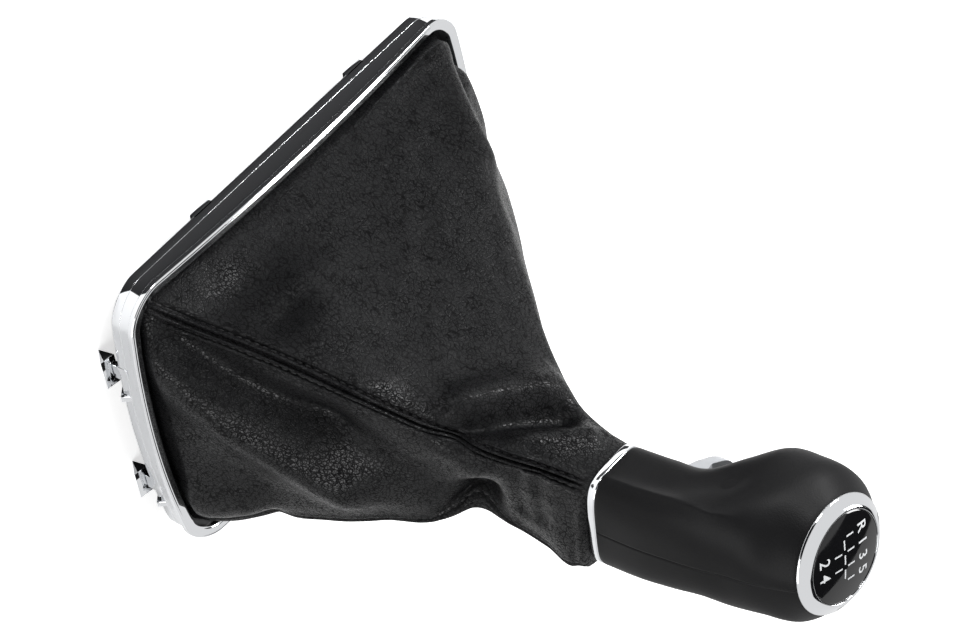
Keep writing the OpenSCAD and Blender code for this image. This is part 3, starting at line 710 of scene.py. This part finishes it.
def join_parts(parts):
    points, faces = [], []
    for pts, fs in parts:
        faces += [[i + len(points) for i in f] for f in fs]
        points += pts
    return points, faces


def end_wall(cx, end):
    """Places (along, outward, up) on the bezel's front or rear wall, from cx at its foot."""
    wall = HALF_L + END_BOW * (1 - (cx / HALF_W) ** 2)
    return lambda x, a, b: (cx + x * end, BEZEL_Y + end * (wall + a), BEZEL_Z + b)


def side_wall(y, side):
    """Places (along, across, up) on the bezel's left or right wall, from y at its foot."""
    middle = HALF_W - SKIRT_WALL / 2
    return lambda x, a, b: (side * middle + a, BEZEL_Y + y + x * side, BEZEL_Z + b)


CLIP_X, CLIP_W, BARB_W, BARB_SHIFT, SMALL_BARB_W = 27, 6, 12, 9.5, 2.4
LUG_PLACES, LUG_W = (-38, 43), 9
CLIP_LEG = [(-SKIRT_WALL, -CLIP_DROP * 0.3), (0, -CLIP_DROP * 0.3), (0, 4), (-SKIRT_WALL, 4)]
CLIP_BARB = [(-SKIRT_WALL / 2, -CLIP_DROP), (3.4, -CLIP_DROP * 0.42),
             (-SKIRT_WALL, -CLIP_DROP * 0.3)]
SMALL_BARB = [(-SKIRT_WALL, -2.4), (2.0, 0.6), (0, 3.4), (-SKIRT_WALL, 3.4)]
LUG = [(-SKIRT_WALL / 2, -1.6), (SKIRT_WALL / 2, -1.6), (SKIRT_WALL / 2, 1), (-SKIRT_WALL / 2, 1)]
parts = []
for end in (-1, 1):
    for cx in (-CLIP_X, CLIP_X):
        parts.append(prism(CLIP_LEG, CLIP_W, end_wall(cx, end)))
        parts.append(prism(CLIP_BARB, BARB_W, end_wall(cx, end)))
        parts.append(prism(SMALL_BARB, SMALL_BARB_W, end_wall(cx - BARB_SHIFT * end, end)))
for side in (-1, 1):
    for y in LUG_PLACES:
        parts.append(prism(LUG, LUG_W, side_wall(y, side)))
clips = make("chrome_bezel_clips", *join_parts(parts), M["chrome"], flat=True)
bevel(clips, 0.18)
for o in (rim_obj, clips):
    dressed(o, "bezel", "chrome_bezel")

# ---------------------------------------------------------------- collar ring
COLLAR_DEPTH = 4.2
collar_path = np.stack(collar_point(-np.linspace(0, 1, 320, endpoint=False), 0.0), -1)
collar_profile = rounded([(-COLLAR_DEPTH, 0, 0.2), (0.0, 0, 0.45), (0.12, COLLAR_H / 2, 0.9),
                          (0.0, COLLAR_H, 0.45), (-COLLAR_DEPTH, COLLAR_H, 0.2)])
collar = sweep("collar_ring_chrome", collar_path, collar_profile,
               lambda p, xy: COLLAR_Z + p[:, 1][:, None] + 0 * xy[..., 0], M["chrome"])
dressed(collar, "knob", "collar_ring")

# ---------------------------------------------------------------- knob shells
# the trigger's pocket in the front of the neck, in metres
POCKET = ((-0.0126, 0.00995, 0.0186), (0.0126, 0.03425, 0.0435))
# the crease up the rear left corner of the neck: share of height, place round the knob, height
CREASE = [[0, 0.057, 0.5], [0.13, 0.063, 1.0], [0.34, 0.062, 1.0], [0.45, 0.044, 0.75],
          [0.55, 0.024, 0.4], [0.7, 0.02, 0]]
CREASE_H, CREASE_W, CREASE_SOFT = 1.9, 2.6, 0.2
# the thumb scoop beside it: depth in mm, share of height and reach, distance and reach in mm
SCOOP_DEPTH, SCOOP_T, SCOOP_TALL, SCOOP_OFF, SCOOP_WIDE = 2.2, 0.52, 0.13, 12, 8
KNOB_GIRTH = 130
KNOB_RINGS, KNOB_COLS, KNOB_SHARP = 110, 190, 35
# rounding, in mm, at the parting line and at the rims
PARTING_CUT, PARTING_REACH, RIM_CUT, RIM_REACH = 0.28, 0.2, 0.25, 0.4


def knob_half(node, start_u):
    end_u = start_u + FRONT_U - REAR_U
    near = 0.9 / KNOB_GIRTH
    gap = np.array([0, 0.12, 0.25, 0.45, 0.8]) / KNOB_GIRTH
    u = np.concatenate([start_u + gap, np.linspace(start_u + near, end_u - near, KNOB_COLS),
                        end_u - gap[::-1]])
    edge = np.minimum(u - start_u, end_u - u) * KNOB_GIRTH
    uu, t = np.meshgrid(u, np.linspace(0, 1, KNOB_RINGS))
    inset = (PARTING_CUT * bell(edge, 0, PARTING_REACH)
             + RIM_CUT * bell((1 - t) * TOP_Z, 0, RIM_REACH)
             + RIM_CUT * bell(t * TOP_Z, 0, RIM_REACH))
    if start_u == REAR_U:
        low = np.minimum(t, CREASE[-1][0])
        off = (uu - smooth(CREASE, low, 1)) * KNOB_GIRTH
        inset = inset - (CREASE_H * np.maximum(smooth(CREASE, low, 2), 0)
                         * np.exp(CREASE_SOFT - np.hypot(off / CREASE_W, CREASE_SOFT)))
        inset = inset + SCOOP_DEPTH * np.exp(-(((t - SCOOP_T) / SCOOP_TALL) ** 2)
                                             - ((off - SCOOP_OFF) / SCOOP_WIDE) ** 2)
    outer = knob_point(t, uu, inset)
    inner = knob_point(t, uu, SHELL_WALL)
    for g in (outer, inner):
        # the middles of a leaning section are drawn onto the parting plane
        for c, reach in ((0, uu - start_u), (-1, end_u - uu)):
            g[..., 0] -= g[:, c, 0][:, None] * bell(reach * KNOB_GIRTH, 0, 6)
        g[:, 0, 0] = g[:, -1, 0] = 0.01 * (-1 if start_u == REAR_U else 1)
    r, c = t.shape
    n = r * c
    points = np.concatenate([outer.reshape(-1, 3), inner.reshape(-1, 3)])
    faces = grid_faces(r, c) + grid_faces(r, c, start=n, flip=True)
    for i in range(c - 1):
        faces.append([i, n + i, n + i + 1, i + 1])
        j = (r - 1) * c + i
        faces.append([j + 1, n + j + 1, n + j, j])
    for i in range(r - 1):
        a, b = i * c, (i + 1) * c
        faces.append([b, n + b, n + a, a])
        a, b = i * c + c - 1, (i + 1) * c + c - 1
        faces.append([a, n + a, n + b, b])
    o = make(node + "_grip", points, [f[::-1] for f in faces], M["soft_grip"], sharp=KNOB_SHARP)
    bpy.ops.mesh.primitive_cube_add()
    cutter = bpy.context.object
    low, high = Vector(POCKET[0]), Vector(POCKET[1])
    cutter.dimensions = high - low
    cutter.location = (low + high) / 2
    m = o.modifiers.new("pocket", "BOOLEAN")
    m.operation = "DIFFERENCE"
    m.object = cutter
    m.solver = "EXACT"
    bpy.context.view_layer.update()
    apply_modifiers(o)
    bpy.data.objects.remove(cutter)
    o.data.set_sharp_from_angle(angle=np.radians(KNOB_SHARP))
    dressed(o, "knob", node)


knob_half("knob_shell_left", REAR_U)
knob_half("knob_shell_right", FRONT_U)

# ---------------------------------------------------------------- cap
CAP = (Matrix.Translation((0, CAP_REACH * MM, CAP_Z * MM)) @ Matrix.Rotation(-CAP_LEAN, 4, "Y")
       @ Matrix.Rotation(CAP_TILT, 4, "X"))
CAP_SIDES = 160


def revolve(name, profile, material, closed=True):
    """A profile of (radius, up) turned about the cap's axis; an open one gets its ends filled."""
    a = np.linspace(0, 2 * np.pi, CAP_SIDES, endpoint=False)
    r, z = np.asarray(profile, float).T[:, :, None]
    points = np.stack([r * np.cos(a), r * np.sin(a), z + 0 * a], -1).reshape(-1, 3)
    k = len(profile)
    faces = grid_faces(k, CAP_SIDES, True)
    if closed:
        faces += closing_faces(k, CAP_SIDES)
    else:
        faces.append(list(range(CAP_SIDES))[::-1])
        faces.append([(k - 1) * CAP_SIDES + c for c in range(CAP_SIDES)])
    o = make(name, points, faces, material, sharp=50)
    o.data.transform(CAP)
    return o


ring_profile = rounded([
    (DISC_R + 0.05, -RING_SEAT, 0.05), (DISC_R + 1.8, -RING_SEAT, 0.05),
    (DISC_R + 1.8, -RING_DROP, 0.05), (RING_R, -RING_DROP, 0.1),
    (RING_R - 0.2, -RING_DROP + 0.5, 0.3), (RING_R - 1.4, -1.3, 0.9),
    (DISC_R + 1.2, 0.1, 0.6), (DISC_R + 0.05, 0.25, 0.2)])
ring = revolve("cap_ring_chrome", ring_profile, M["chrome"])
dressed(ring, "knob", "cap_ring")

CROWN_R = (DISC_R ** 2 + DISC_CROWN ** 2) / (2 * DISC_CROWN)


def dome(r):
    return DISC_CROWN - CROWN_R + np.sqrt(CROWN_R ** 2 - r ** 2)


DISC_HUB, DISC_T = 0.02, 2
radii = np.concatenate([[DISC_HUB], np.linspace(0.6, DISC_R - 0.15, 26)])
disc_profile = [(r, dome(r)) for r in radii]
disc_profile += [(DISC_R - 0.03, -0.05), (DISC_R, -0.2), (DISC_R, -DISC_T), (DISC_HUB, -DISC_T)]
disc = revolve("pattern_disc_gloss", disc_profile[::-1], M["gloss_black"], closed=False)
dressed(disc, "knob", "pattern_disc")

# the shift pattern, turned a little in the cap's face
PATTERN_TURN = Matrix.Rotation(np.radians(-15), 4, "Z")
PITCH = 5.1
COLUMNS = [-7.9 + PITCH * i for i in range(4)]
DIGIT_Y, STEM_Y, BAR_Y, LOW_STEM_Y, LOW_DIGIT_Y = 6.9, 1.2, -1.65, -4.6, -10.6
HALF_STEM, BAR_GAP, STROKE_W, DIGIT_SIZE, PRINT_LIFT = 1.6, 0.9, 0.55, 5.9, 0.03
DIGITS = {"R": (0, DIGIT_Y), "1": (1, DIGIT_Y), "3": (2, DIGIT_Y), "5": (3, DIGIT_Y),
          "2": (1, LOW_DIGIT_Y), "4": (2, LOW_DIGIT_Y)}


def on_dome(points):
    """Points (x, y) lifted onto the disc's crown."""
    p = np.asarray(points, float)
    return np.stack([p[:, 0], p[:, 1], dome(np.hypot(p[:, 0], p[:, 1])) + PRINT_LIFT], -1)


def bar(x0, y0, x1, y1):
    """A thin printed stroke as a strip of quads on the disc."""
    k = 6
    a, b = np.array([x0, y0]), np.array([x1, y1])
    side = np.array([-(b - a)[1], (b - a)[0]]) / np.hypot(*(b - a)) * STROKE_W / 2
    pts = []
    for t in np.linspace(0, 1, k):
        c = lerp(a, b, t)
        pts += [c - side, c + side]
    faces = [[2 * i, 2 * i + 2, 2 * i + 3, 2 * i + 1] for i in range(k - 1)]
    return [tuple(p) for p in on_dome(pts)], faces


strokes = [bar(x, STEM_Y - HALF_STEM, x, STEM_Y + HALF_STEM) for x in COLUMNS]
strokes += [bar(x, LOW_STEM_Y - HALF_STEM, x, LOW_STEM_Y + HALF_STEM) for x in COLUMNS[1:3]]
strokes += [bar(x + BAR_GAP, BAR_Y, x + PITCH - BAR_GAP, BAR_Y) for x in COLUMNS[:3]]
pattern = make("pattern_lines", *join_parts(strokes), PRINT)
pattern.data.transform(CAP @ PATTERN_TURN)
dressed(pattern, "knob", slot="silver_plastic")

for char, (column, y) in DIGITS.items():
    curve = bpy.data.curves.new("digit", "FONT")
    curve.body = char
    curve.size = DIGIT_SIZE
    curve.offset = 0.05
    curve.align_x = "CENTER"
    curve.align_y = "CENTER"
    curve.resolution_u = 6
    o = bpy.data.objects.new("digit", curve)
    bpy.context.scene.collection.objects.link(o)
    bpy.context.view_layer.update()
    me = bpy.data.meshes.new_from_object(o.evaluated_get(bpy.context.evaluated_depsgraph_get()))
    bpy.data.objects.remove(o)
    pts = on_dome([(v.co.x + COLUMNS[column], v.co.y + y) for v in me.vertices])
    digit = make("gear_mark_" + char, pts, [list(p.vertices) for p in me.polygons], PRINT)
    digit.data.transform(CAP @ PATTERN_TURN)
    dressed(digit, "knob", slot="silver_plastic")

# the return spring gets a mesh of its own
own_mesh(nodes["return_spring"])


# ---------------------------------------------------------------- stage and light
def seen_rays(nt):
    """Is Camera Ray, and the same with the rays that mirrors and glass send on."""
    path = add(nt, "ShaderNodeLightPath")
    camera_ray = path.outputs["Is Camera Ray"]
    sent_on = math_node(nt, "MAXIMUM", path.outputs["Is Glossy Ray"],
                        path.outputs["Is Transmission Ray"])
    return camera_ray, math_node(nt, "MAXIMUM", camera_ray, sent_on)


bpy.ops.mesh.primitive_plane_add(size=12, location=(0, 0, -0.1487))
floor = bpy.context.object
floor.name = "floor"
fm, nt, b = new_material("pale_floor", (0.86, 0.86, 0.86), roughness=0.9, specular=0.1)
camera_ray, seen = seen_rays(nt)
shine = math_node(nt, "ADD", math_node(nt, "MULTIPLY", seen, 0.2),
                  math_node(nt, "MULTIPLY", camera_ray, 0.45))
glow = add(nt, "ShaderNodeEmission", {"Color": (1, 1, 1, 1), "Strength": shine})
both = add(nt, "ShaderNodeAddShader", {0: b.outputs[0], 1: glow.outputs[0]})
nt.links.new(both.outputs[0], nt.nodes["Material Output"].inputs["Surface"])
floor.data.materials.append(fm)

world = bpy.data.worlds.new("studio")
bpy.context.scene.world = world
world.use_nodes = True
nt = world.node_tree
bg = nt.nodes["Background"]
_, seen = seen_rays(nt)
bg.inputs["Color"].default_value = (1, 1, 1, 1)
nt.links.new(set_range(nt, seen, 0, 1, 0.3, 1.0), bg.inputs["Strength"])


def card(name, center, normal, size):
    """A black card that only mirror-like surfaces see."""
    bpy.ops.mesh.primitive_plane_add(size=1)
    o = bpy.context.object
    o.name = name
    o.rotation_euler = Vector(normal).to_track_quat("Z", "Y").to_euler()
    o.scale = (*size, 1)
    o.location = center
    o.visible_camera = o.visible_diffuse = o.visible_shadow = False
    m, _, _ = new_material(name, (0.006, 0.006, 0.007), roughness=0.8, specular=0.2)
    o.data.materials.append(m)


UPWARD = (0, 0, 1)
card("side_card", (-0.131, 0.19, -0.1455), UPWARD, (0.14, 0.48))
card("far_card", (-0.43, 0.19, -0.1455), UPWARD, (0.18, 0.48))
# the under card is painted shade: a black sheet, seen only in reflections, where the inside of the
# bezel lies in shade
card("under_card", (0, 0.034, -0.1484), UPWARD, (0.116, 0.176))
card("corner_card", (-0.21, -0.26, -0.1455), UPWARD, (0.12, 0.14))
card("camera_card", (-0.86, -0.62, 0.52), CAMERA_BACK, (1.3, 1.3))
card("top_card", (0.725, 0.65, 1.3), UPWARD, (0.55, 1.9))


def lamp(name, at, target, size, power):
    data = bpy.data.lights.new(name, "AREA")
    data.shape = "RECTANGLE"
    data.size, data.size_y = size
    data.energy = power
    o = bpy.data.objects.new(name, data)
    bpy.context.scene.collection.objects.link(o)
    o.location = at
    o.rotation_euler = (Vector(target) - Vector(at)).to_track_quat("-Z", "Y").to_euler()


MIDDLE = (0, 0.02, -0.03)
lamp("key", (-0.85, 0.85, 0.6), MIDDLE, (0.35, 0.35), 15)
lamp("side", (-1.02, 0.1, 0.46), CAP.translation, (0.3, 0.3), 7)
lamp("rear", (-0.05, -1.2, 0.35), MIDDLE, (0.9, 0.45), 9)
lamp("top", (0.15, 0.9, 1.2), MIDDLE, (0.6, 0.3), 13)
